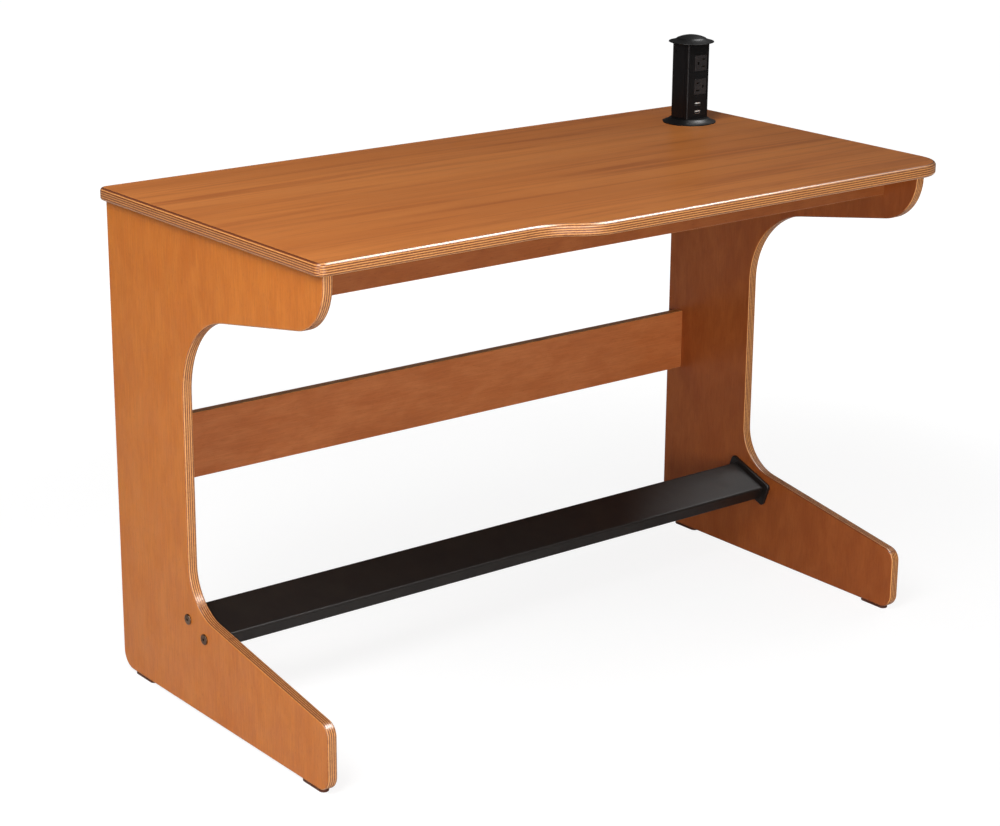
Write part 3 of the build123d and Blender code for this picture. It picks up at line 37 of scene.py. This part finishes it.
class Graph:
    """Builds one material out of shader nodes."""

    def __init__(self, name):
        self.material = bpy.data.materials.new(name)
        self.material.use_nodes = True
        self.tree = self.material.node_tree
        self.shader = self.tree.nodes["Principled BSDF"]
        self.at = self.new("ShaderNodeTexCoord").outputs["Object"]

    def new(self, kind, **settings):
        node = self.tree.nodes.new(kind)
        for key, value in settings.items():
            setattr(node, key, value)
        return node

    def plug(self, socket, value):
        if isinstance(value, bpy.types.NodeSocket):
            self.tree.links.new(value, socket)
        else:
            socket.default_value = value

    def set(self, **inputs):
        """Sets or links inputs of the surface shader, named with underscores for spaces."""
        for key, value in inputs.items():
            self.plug(self.shader.inputs[key.replace("_", " ")], value)

    def calc(self, operation, first, second=0.0, third=0.0):
        node = self.new("ShaderNodeMath", operation=operation)
        for socket, value in zip(node.inputs, (first, second, third)):
            self.plug(socket, value)
        return node.outputs[0]

    def rescale(self, value, low, high, new_low=0.0, new_high=1.0):
        """Maps a range smoothly onto another and clamps it."""
        node = self.new("ShaderNodeMapRange", interpolation_type="SMOOTHSTEP")
        for socket, number in zip(node.inputs, (value, low, high, new_low, new_high)):
            self.plug(socket, number)
        return node.outputs[0]

    def mix(self, share, first, second, blend="MIX"):
        node = self.new("ShaderNodeMix", data_type="RGBA", blend_type=blend)
        self.plug(node.inputs[0], share)
        self.plug(node.inputs[6], first)  # A and B of the colour mix
        self.plug(node.inputs[7], second)
        return node.outputs[2]

    def stretch(self, vector, factors):
        node = self.new("ShaderNodeVectorMath", operation="MULTIPLY")
        self.plug(node.inputs[0], vector)
        node.inputs[1].default_value = factors
        return node.outputs[0]

    def noise(self, frequencies, detail=2.0, roughness=0.5, distortion=0.0, shift=0.0):
        """Noise with its own frequency, in cycles per metre, along each axis."""
        spot = self.stretch(self.at, frequencies)
        if shift:
            node = self.new("ShaderNodeVectorMath", operation="ADD")
            self.plug(node.inputs[0], spot)
            node.inputs[1].default_value = (shift, shift, shift)
            spot = node.outputs[0]
        node = self.new("ShaderNodeTexNoise")
        self.plug(node.inputs["Vector"], spot)
        for key, value in (
            ("Scale", 1.0), ("Detail", detail), ("Roughness", roughness), ("Distortion", distortion)
        ):
            node.inputs[key].default_value = value
        return node.outputs[0]

    def blend(self, share, first, second):
        """Mixes two numbers."""
        node = self.new("ShaderNodeMix", data_type="FLOAT")
        for index, value in ((0, share), (2, first), (3, second)):
            self.plug(node.inputs[index], value)
        return node.outputs[0]

    def grey(self, value):
        node = self.new("ShaderNodeCombineColor")
        for socket in node.inputs:
            self.plug(socket, value)
        return node.outputs[0]

    def part(self, vector, axis):
        node = self.new("ShaderNodeSeparateXYZ")
        self.plug(node.inputs[0], vector)
        return node.outputs["XYZ".index(axis)]

    def facing(self, axis):
        """How squarely the surface faces along an axis, from 0 to 1."""
        normal = self.new("ShaderNodeNewGeometry").outputs["Normal"]
        return self.calc("ABSOLUTE", self.part(normal, axis))

    def bump(self, height, depth, strength):
        node = self.new("ShaderNodeBump")
        self.plug(node.inputs["Height"], height)
        node.inputs["Strength"].default_value = strength
        node.inputs["Distance"].default_value = depth
        self.plug(self.shader.inputs["Normal"], node.outputs[0])


def colour(red, green, blue):
    """A linear colour from red, green and blue between 0 and 255 as seen on a screen."""

    def linear(value):
        value /= 255
        return value / 12.92 if value <= 0.04045 else ((value + 0.055) / 1.055) ** 2.4
    return (linear(red), linear(green), linear(blue), 1.0)


# ---------------------------------------------------------------- wood

PLY = 1.8 * MM  # thickness of one ply
VENEER = 0.45 * MM  # the face veneer, sanded
LIGHT_PLY = colour(222, 154, 88)
DARK_PLY = colour(120, 58, 26)
GLUE_LINE = colour(66, 28, 12)


def along(axis, grain, across):
    """Frequencies for a grain that runs along one axis."""
    return tuple(grain if name == axis else across for name in "XYZ")


def birch(graph, axis, pale, mid, deep, shift):
    """Rotary-cut birch veneer under a stain: colour, and a height for its bump."""
    broad = graph.noise(along(axis, 1.2, 3.0), 3.0, 0.5, 0.4, shift)
    cloud = graph.noise(along(axis, 13.0, 34.0), 4.0, 0.65, 0.4, shift + 3.1)
    fibre = graph.noise(along(axis, 26.0, 420.0), 3.0, 0.62, 0.1, shift + 5.7)
    fleck = graph.noise(along(axis, 110.0, 700.0), 2.0, 0.5, 0.0, shift + 8.3)
    tone = graph.mix(graph.rescale(broad, 0.3, 0.7, 0.25, 0.85), deep, mid)
    tone = graph.mix(graph.rescale(cloud, 0.32, 0.72, 0.0, 0.6), tone, pale)
    streak = graph.rescale(fibre, 0.28, 0.72, 0.91, 1.05)
    dot = graph.rescale(fleck, 0.62, 0.7, 1.0, 0.83)
    shade = graph.calc("MULTIPLY", streak, dot)
    tone = graph.mix(1.0, tone, graph.grey(shade), "MULTIPLY")
    return tone, graph.calc("SUBTRACT", fibre, graph.calc("MULTIPLY", fleck, 0.4))


def plies(graph, depth, long_axis, cross_axis):
    """Cut edge of plywood: plies that show long grain are light, plies that show end grain are dark.

    The ends of the board, which face along its long axis, are darker as a whole.
    """
    wander = graph.calc("MULTIPLY_ADD", graph.noise((14.0, 14.0, 14.0), 2.0), 0.5 * MM, -0.25 * MM)
    layer = graph.calc("DIVIDE", graph.calc("ADD", depth, wander), PLY)
    number = graph.calc("FLOOR", layer)
    inside = graph.calc("FRACT", layer)
    odd = graph.calc("MODULO", number, 2.0)
    facing_end = graph.calc("SUBTRACT", graph.facing(long_axis), graph.facing(cross_axis))
    turned = graph.rescale(facing_end, -0.3, 0.3)
    end_grain = graph.blend(turned, odd, graph.calc("SUBTRACT", 1.0, odd))
    tint = graph.new("ShaderNodeTexWhiteNoise", noise_dimensions="1D")
    graph.plug(tint.inputs["W"], number)
    fibre = graph.noise((260.0, 260.0, 260.0), 3.0, 0.6, 0.3, 2.0)
    blotch = graph.noise((22.0, 22.0, 240.0), 2.0, 0.5, 0.6, 6.0)
    dark_share = graph.calc("MULTIPLY_ADD", end_grain, 0.68, 0.02)
    dark_share = graph.calc("MULTIPLY_ADD", turned, 0.22, dark_share)
    dark_share = graph.calc("MULTIPLY_ADD", tint.outputs["Value"], 0.16, dark_share)
    dark_share = graph.calc("ADD", dark_share, graph.rescale(fibre, 0.35, 0.7, -0.1, 0.16))
    dark_share = graph.calc("ADD", dark_share, graph.rescale(blotch, 0.66, 0.78, 0.0, 0.4))
    tone = graph.mix(graph.rescale(dark_share, 0.0, 1.0), LIGHT_PLY, DARK_PLY)
    seam = graph.calc("ABSOLUTE", graph.calc("SUBTRACT", inside, 0.5))
    tone = graph.mix(graph.rescale(seam, 0.42, 0.49, 0.0, 0.75), tone, GLUE_LINE)
    return tone, fibre


def plywood_board(name, thickness_axis, front, thickness, grain, other, tones, shift, shine=0.25):
    """A veneered board: face figure on both faces, plies on its edges.

    The grain of its faces runs along one axis, and other is the second axis of those faces. The shift
    gives each board its own figure.
    """
    graph = Graph(name)
    position = graph.part(graph.at, thickness_axis)
    if thickness_axis == "X":  # the two sides are mirror images about X = 0
        position = graph.calc("ABSOLUTE", position)
    depth = graph.calc("SUBTRACT", position, front)
    to_face = graph.calc("MINIMUM", depth, graph.calc("SUBTRACT", thickness, depth))
    edge = graph.rescale(to_face, VENEER - 0.06 * MM, VENEER + 0.06 * MM)
    face_tone, face_height = birch(graph, grain, *tones, shift)
    edge_tone, edge_height = plies(graph, depth, grain, other)
    graph.set(Base_Color=graph.mix(edge, face_tone, edge_tone))
    graph.bump(graph.blend(edge, face_height, edge_height), 0.12 * MM, 0.35)
    sheen = graph.noise((14.0, 14.0, 14.0), 3.0, 0.6, 0.0, 9.0)
    graph.set(Roughness=graph.rescale(sheen, 0.3, 0.7, 0.36, 0.46))
    graph.set(Coat_Weight=graph.rescale(edge, 0.0, 1.0, 0.03, 0.45), Coat_Roughness=0.18)
    graph.set(Specular_IOR_Level=shine)
    return graph.material


# pale, middle and deep tone of each stain, and of the darker sets that paint in shade
WARM_TONES = (colour(204, 122, 44), colour(194, 109, 33), colour(181, 96, 26))
RAIL_TONES = (colour(196, 118, 68), colour(184, 105, 56), colour(168, 91, 45))
# painted shade: a darker copy of the left side's stain, for the shade that falls on the right side panel
SHADED_RIGHT_TONES = (colour(172, 95, 45), colour(158, 82, 35), colour(142, 70, 28))
# partly the apron's own deeper stain, partly painted shade for the shade under the worktop
APRON_STAIN_AND_SHADE_TONES = (colour(160, 92, 48), colour(148, 80, 38), colour(134, 70, 31))

panel_low, panel_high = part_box("right_side_panel")
rail_low, rail_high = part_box("back_rail")
apron_low, apron_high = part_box("front_apron")
core_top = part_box("top_core")[1].z
surface_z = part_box("top_laminate")[1].z

left_wood = plywood_board(
    "stained_left_side", "X", panel_low.x, panel_high.x - panel_low.x, "Z", "Y", WARM_TONES, 0.0, 0.5
)
# the right side panel takes the darker tones, which paint in its shade
shaded_right_wood = plywood_board(
    "right_side_painted_shade", "X", panel_low.x, panel_high.x - panel_low.x, "Z", "Y", SHADED_RIGHT_TONES, 2.5
)
rail_wood = plywood_board(
    "stained_rail", "Y", rail_low.y, rail_high.y - rail_low.y, "X", "Z", RAIL_TONES, 4.0
)
# the apron takes its darker tones: a deeper stain with painted shade in it
apron_wood_with_painted_shade = plywood_board(
    "apron_stain_and_painted_shade", "Y", apron_low.y, apron_high.y - apron_low.y, "X", "Z", APRON_STAIN_AND_SHADE_TONES, 7.0
)

EDGE_GLOSS = 1.5  # refractive index of the lacquer on the rounded edges of the worktop
EDGE_LACQUER = 0.9
EDGE_LACQUER_ROUGHNESS = 0.3
FIRST_PLY_CUT = 0.15 * PLY  # sanded off the outermost ply before the laminate went on


def worktop_core():
    graph = Graph("worktop_plies")
    depth = graph.calc("SUBTRACT", core_top + FIRST_PLY_CUT, graph.part(graph.at, "Z"))
    tone, height = plies(graph, depth, "X", "Y")
    graph.set(Base_Color=tone, Roughness=0.34, Specular_IOR_Level=0.15)
    graph.set(Coat_Weight=EDGE_LACQUER, Coat_Roughness=EDGE_LACQUER_ROUGHNESS, Coat_IOR=EDGE_GLOSS)
    graph.bump(height, 0.1 * MM, 0.35)
    return graph.material


LAMINATE_PALE = colour(222, 136, 67)
LAMINATE_MID = colour(207, 122, 57)
LAMINATE_DEEP = colour(178, 95, 42)
KRAFT = colour(70, 30, 15)
DECOR = 0.3 * MM  # printed layer of the laminate, over its brown core


def worktop_laminate():
    """Cherry-coloured laminate: streaks along the width, brown where its own edge is cut."""
    graph = Graph("worktop_laminate")
    broad = graph.noise((0.8, 11.0, 1.0), 4.0, 0.6, 0.5)
    band = graph.noise((1.6, 42.0, 1.0), 3.0, 0.65, 0.8, 4.0)
    streak = graph.noise((7.0, 330.0, 1.0), 3.0, 0.6, 0.2, 7.0)
    tone = graph.mix(graph.rescale(broad, 0.34, 0.68), LAMINATE_MID, LAMINATE_PALE)
    tone = graph.mix(graph.rescale(band, 0.45, 0.75, 0.0, 0.75), tone, LAMINATE_DEEP)
    tone = graph.mix(graph.rescale(streak, 0.5, 0.78, 0.0, 0.42), tone, LAMINATE_DEEP)
    below = graph.calc("SUBTRACT", surface_z, graph.part(graph.at, "Z"))
    tone = graph.mix(graph.rescale(below, DECOR, DECOR + 0.05 * MM), tone, KRAFT)
    wear = graph.noise((6.0, 9.0, 6.0), 4.0, 0.6, 0.0, 2.0)
    graph.set(Base_Color=tone, Roughness=graph.rescale(wear, 0.3, 0.75, 0.3, 0.38))
    flat = graph.rescale(graph.facing("Z"), 0.9, 0.995)
    lacquer = graph.calc("MULTIPLY_ADD", flat, -EDGE_LACQUER, EDGE_LACQUER)
    graph.set(Specular_IOR_Level=0.14, Coat_Weight=lacquer)
    graph.set(Coat_Roughness=EDGE_LACQUER_ROUGHNESS, Coat_IOR=EDGE_GLOSS)
    graph.bump(graph.noise((900.0, 1400.0, 900.0), 2.0), 0.02 * MM, 0.25)
    return graph.material


# ---------------------------------------------------------------- plastic, metal, rubber


def moulded(name, base, second, roughness, grain, depth, blotch=9.0, gloss=0.3):
    """A finish with slight changes of tone and sheen and a fine surface grain, its depth in mm."""
    graph = Graph(name)
    cloud = graph.noise((blotch * 4,) * 3, 3.0, 0.6)
    fine = graph.noise((grain,) * 3, 2.0, 0.5, 0.0, 3.0)
    graph.set(Base_Color=graph.mix(graph.rescale(cloud, 0.3, 0.7), base, second))
    sheen = graph.calc("MULTIPLY_ADD", graph.calc("SUBTRACT", cloud, 0.5), 0.22, roughness)
    graph.set(Roughness=sheen, Specular_IOR_Level=gloss)
    graph.bump(fine, depth * MM, 0.5)
    return graph.material


def brushed(name, base, second, roughness, axis):
    """Metal with fine lines along one axis."""
    graph = Graph(name)
    lines = graph.noise(along(axis, 40.0, 1800.0), 2.0, 0.6)
    cloud = graph.noise((60.0,) * 3, 3.0, 0.6, 0.0, 2.0)
    graph.set(Base_Color=graph.mix(graph.rescale(cloud, 0.3, 0.7), base, second), Metallic=1.0)
    graph.set(Roughness=graph.rescale(lines, 0.3, 0.7, roughness - 0.07, roughness + 0.09))
    graph.bump(lines, 0.01 * MM, 0.3)
    return graph.material


def satin_black():
    """Black anodised extrusion: faint lines along it and a low sheen."""
    graph = Graph("anodised")
    lines = graph.noise(along("Z", 20.0, 1500.0), 2.0, 0.6)
    cloud = graph.noise((50.0,) * 3, 3.0, 0.6, 0.0, 2.0)
    graph.set(Base_Color=graph.mix(cloud, colour(8, 7, 8), colour(14, 12, 13)))
    graph.set(Roughness=graph.rescale(lines, 0.3, 0.7, 0.3, 0.46), Specular_IOR_Level=0.25)
    graph.bump(lines, 0.01 * MM, 0.3)
    return graph.material


finishes = {
    "plywood": worktop_core(),
    "worktop_laminate": worktop_laminate(),
    "backer_sheet": moulded(
        "backer", colour(96, 56, 36), colour(84, 47, 29), 0.55, 1200.0, 0.04, gloss=0.1
    ),
    "beech": moulded("beech", colour(206, 170, 122), colour(188, 148, 100), 0.6, 700.0, 0.05),
    "zinc": brushed("zinc", colour(196, 196, 190), colour(170, 172, 170), 0.34, "Y"),
    "brown_nylon": moulded("nylon", colour(92, 52, 36), colour(74, 40, 28), 0.5, 500.0, 0.06),
    "black_powder_coat": moulded(
        "powder_coat", colour(33, 28, 25), colour(27, 22, 20), 0.4, 1500.0, 0.07, 5.0
    ),
    "bronze_finish": brushed("bronze", colour(128, 104, 84), colour(92, 70, 56), 0.34, "Z"),
    "black_plastic": moulded(
        "black_plastic", colour(11, 10, 10), colour(8, 7, 8), 0.44, 1600.0, 0.04, gloss=0.2
    ),
    "black_rubber": moulded("black_rubber", colour(18, 18, 18), colour(12, 12, 12), 0.8, 700.0, 0.06),
    "black_anodised": satin_black(),
    "black_steel": brushed("black_steel", colour(54, 52, 52), colour(40, 38, 38), 0.4, "X"),
    "black_gloss_plastic": moulded("thermoset", colour(48, 45, 45), colour(41, 38, 38), 0.3, 900.0, 0.02),
    "brass_contacts": brushed("brass", colour(222, 176, 92), colour(190, 140, 62), 0.26, "Y"),
    "usb_steel": brushed("usb_steel", colour(205, 205, 205), colour(180, 180, 182), 0.25, "X"),
    "white_plastic": moulded(
        "white_plastic", colour(236, 236, 232), colour(226, 226, 220), 0.45, 900.0, 0.02
    ),
    "circuit_board": moulded("solder_mask", colour(28, 96, 52), colour(20, 78, 40), 0.35, 300.0, 0.05),
    "cord_jacket": moulded("cord_jacket", colour(20, 19, 19), colour(15, 14, 14), 0.5, 700.0, 0.04),
    "plug_nickel": brushed("nickel", colour(206, 200, 188), colour(180, 174, 160), 0.22, "X"),
    "hook_and_loop": moulded("hook_and_loop", colour(30, 30, 31), colour(18, 18, 19), 0.95, 1100.0, 0.25),
}
board_wood = {
    "left_side_panel": left_wood,
    "right_side_panel": shaded_right_wood,
    "back_rail": rail_wood,
    "front_apron": apron_wood_with_painted_shade,
}
for row in frame["record"]["subparts"]:
    node = frame["nodes"][row["node"]]
    material = board_wood.get(row["node"]) or finishes[row["material_slot"]]
    node.data.materials.clear()
    node.data.materials.append(material)

# ---------------------------------------------------------------- floor and light

FLOOR_RADIUS = 40.0
FLOOR_FADE = (1.1, 2.6)  # distances from the desk's middle between which the shadow fades out
FLOOR_GLOW = 0.85  # own light of the floor near the desk, as the camera sees it
FLOOR_SEEN = (0.22, 0.22, 0.22, 1.0)  # colour that catches the shadow, as the camera sees it
FLOOR_BOUNCE = ((0.6, 0.6, 0.6, 1.0), (0.64, 0.64, 0.64, 1.0))  # colours as the desk sees them
RIM_STEPS = 64
WORLD_LIGHT = 0.09
WORLD_SEEN = 1.0


def disc(name, radius):
    angles = [math.tau * step / RIM_STEPS for step in range(RIM_STEPS)]
    corners = [(radius * math.cos(angle), radius * math.sin(angle), 0.0) for angle in angles]
    mesh = bpy.data.meshes.new(name)
    mesh.from_pydata(corners, [], [list(range(RIM_STEPS))])
    made = bpy.data.objects.new(name, mesh)
    bpy.context.scene.collection.objects.link(made)
    return made


def pale_floor():
    """White studio floor: the camera sees it nearly white, with a faint soft shadow."""
    graph = Graph("floor_paint")
    seen = graph.new("ShaderNodeLightPath").outputs["Is Camera Ray"]
    distance = graph.new("ShaderNodeVectorMath", operation="LENGTH")
    graph.plug(distance.inputs[0], graph.at)
    glow = graph.rescale(distance.outputs["Value"], *FLOOR_FADE, FLOOR_GLOW, 1.0)
    patch = graph.noise((0.7, 0.7, 0.7), 3.0)
    lit = graph.mix(patch, *FLOOR_BOUNCE)
    graph.set(Base_Color=graph.mix(seen, lit, FLOOR_SEEN))
    graph.set(Emission_Color=(1.0, 1.0, 1.0, 1.0))
    graph.set(Emission_Strength=graph.calc("MULTIPLY", seen, glow))
    graph.set(Roughness=0.8, Specular_IOR_Level=0.0)
    return graph.material


floor = disc("floor", FLOOR_RADIUS)
floor.data.materials.append(pale_floor())

world = bpy.data.worlds.new("studio")
bpy.context.scene.world = world
world.use_nodes = True
sky = world.node_tree
background = sky.nodes["Background"]
seen = sky.nodes.new("ShaderNodeLightPath").outputs["Is Camera Ray"]
strength = sky.nodes.new("ShaderNodeMix")
strength.data_type = "FLOAT"
sky.links.new(seen, strength.inputs[0])
strength.inputs[2].default_value = WORLD_LIGHT
strength.inputs[3].default_value = WORLD_SEEN
sky.links.new(strength.outputs[0], background.inputs["Strength"])
background.inputs["Color"].default_value = (1.0, 1.0, 1.0, 1.0)


def softbox(name, place, target, width, height, power, in_reflections=True, on_surfaces=True):
    """A rectangular light that faces its target; power in watts."""
    light = bpy.data.lights.new(name, "AREA")
    light.shape = "RECTANGLE"
    light.size = width
    light.size_y = height
    light.energy = power
    made = bpy.data.objects.new(name, light)
    made.location = place
    made.rotation_euler = (Vector(target) - Vector(place)).to_track_quat("-Z", "Y").to_euler()
    made.visible_glossy = in_reflections
    made.visible_diffuse = on_surfaces
    bpy.context.scene.collection.objects.link(made)


# The edge light only shows as gloss on rounded edges. The right and back fills show in no reflection.
softbox("key", (-2.0, -0.8, 2.6), (-0.2, 0.0, 0.6), 1.4, 1.4, 64.0)
softbox(
    "edge_light", (1.1, -0.9, 2.7), (-0.2, -0.3, 0.8), 2.8, 0.9, 185.0, on_surfaces=False
)
softbox("left_fill", (-3.3, -1.2, 0.8), (-0.4, 0.0, 0.2), 2.2, 1.2, 28.0)
softbox("front_fill", (-1.0, -3.9, 1.0), (-0.25, 0.1, 0.3), 2.0, 1.0, 88.0)
softbox(
    "right_fill", (3.2, 0.2, 0.8), (0.3, 0.0, 0.4), 1.8, 1.2, 34.0, in_reflections=False
)
softbox(
    "back_fill", (-0.4, 3.4, 2.0), (0.0, 0.0, 0.5), 1.8, 1.4, 22.0, in_reflections=False
)

# ---------------------------------------------------------------- camera

# The desk is seen from its front left, a little above the worktop, with a long lens.
EYE = Vector((-2.3693, -2.92345, 1.6006))
VIEW_RIGHT = Vector((0.79019, -0.61282, 0.00655))
VIEW_UP = Vector((0.17537, 0.23635, 0.95571))
VIEW_BACK = Vector((-0.58723, -0.75405, 0.29423))
LENS_MM = 86.41
SENSOR_MM = 36.0
VIEW_SHIFT = (0.01066, -0.0215)  # shares of the picture's width
CLIP_END = 100.0

camera = bpy.data.objects.new("camera", bpy.data.cameras.new("camera"))
bpy.context.scene.collection.objects.link(camera)
turn = Matrix((VIEW_RIGHT, VIEW_UP, VIEW_BACK)).transposed().to_4x4()
camera.matrix_world = Matrix.Translation(EYE) @ turn
camera.data.lens = LENS_MM
camera.data.sensor_width = SENSOR_MM
camera.data.shift_x, camera.data.shift_y = VIEW_SHIFT
camera.data.clip_end = CLIP_END
bpy.context.scene.camera = camera
bpy.context.scene.view_settings.view_transform = "Standard"
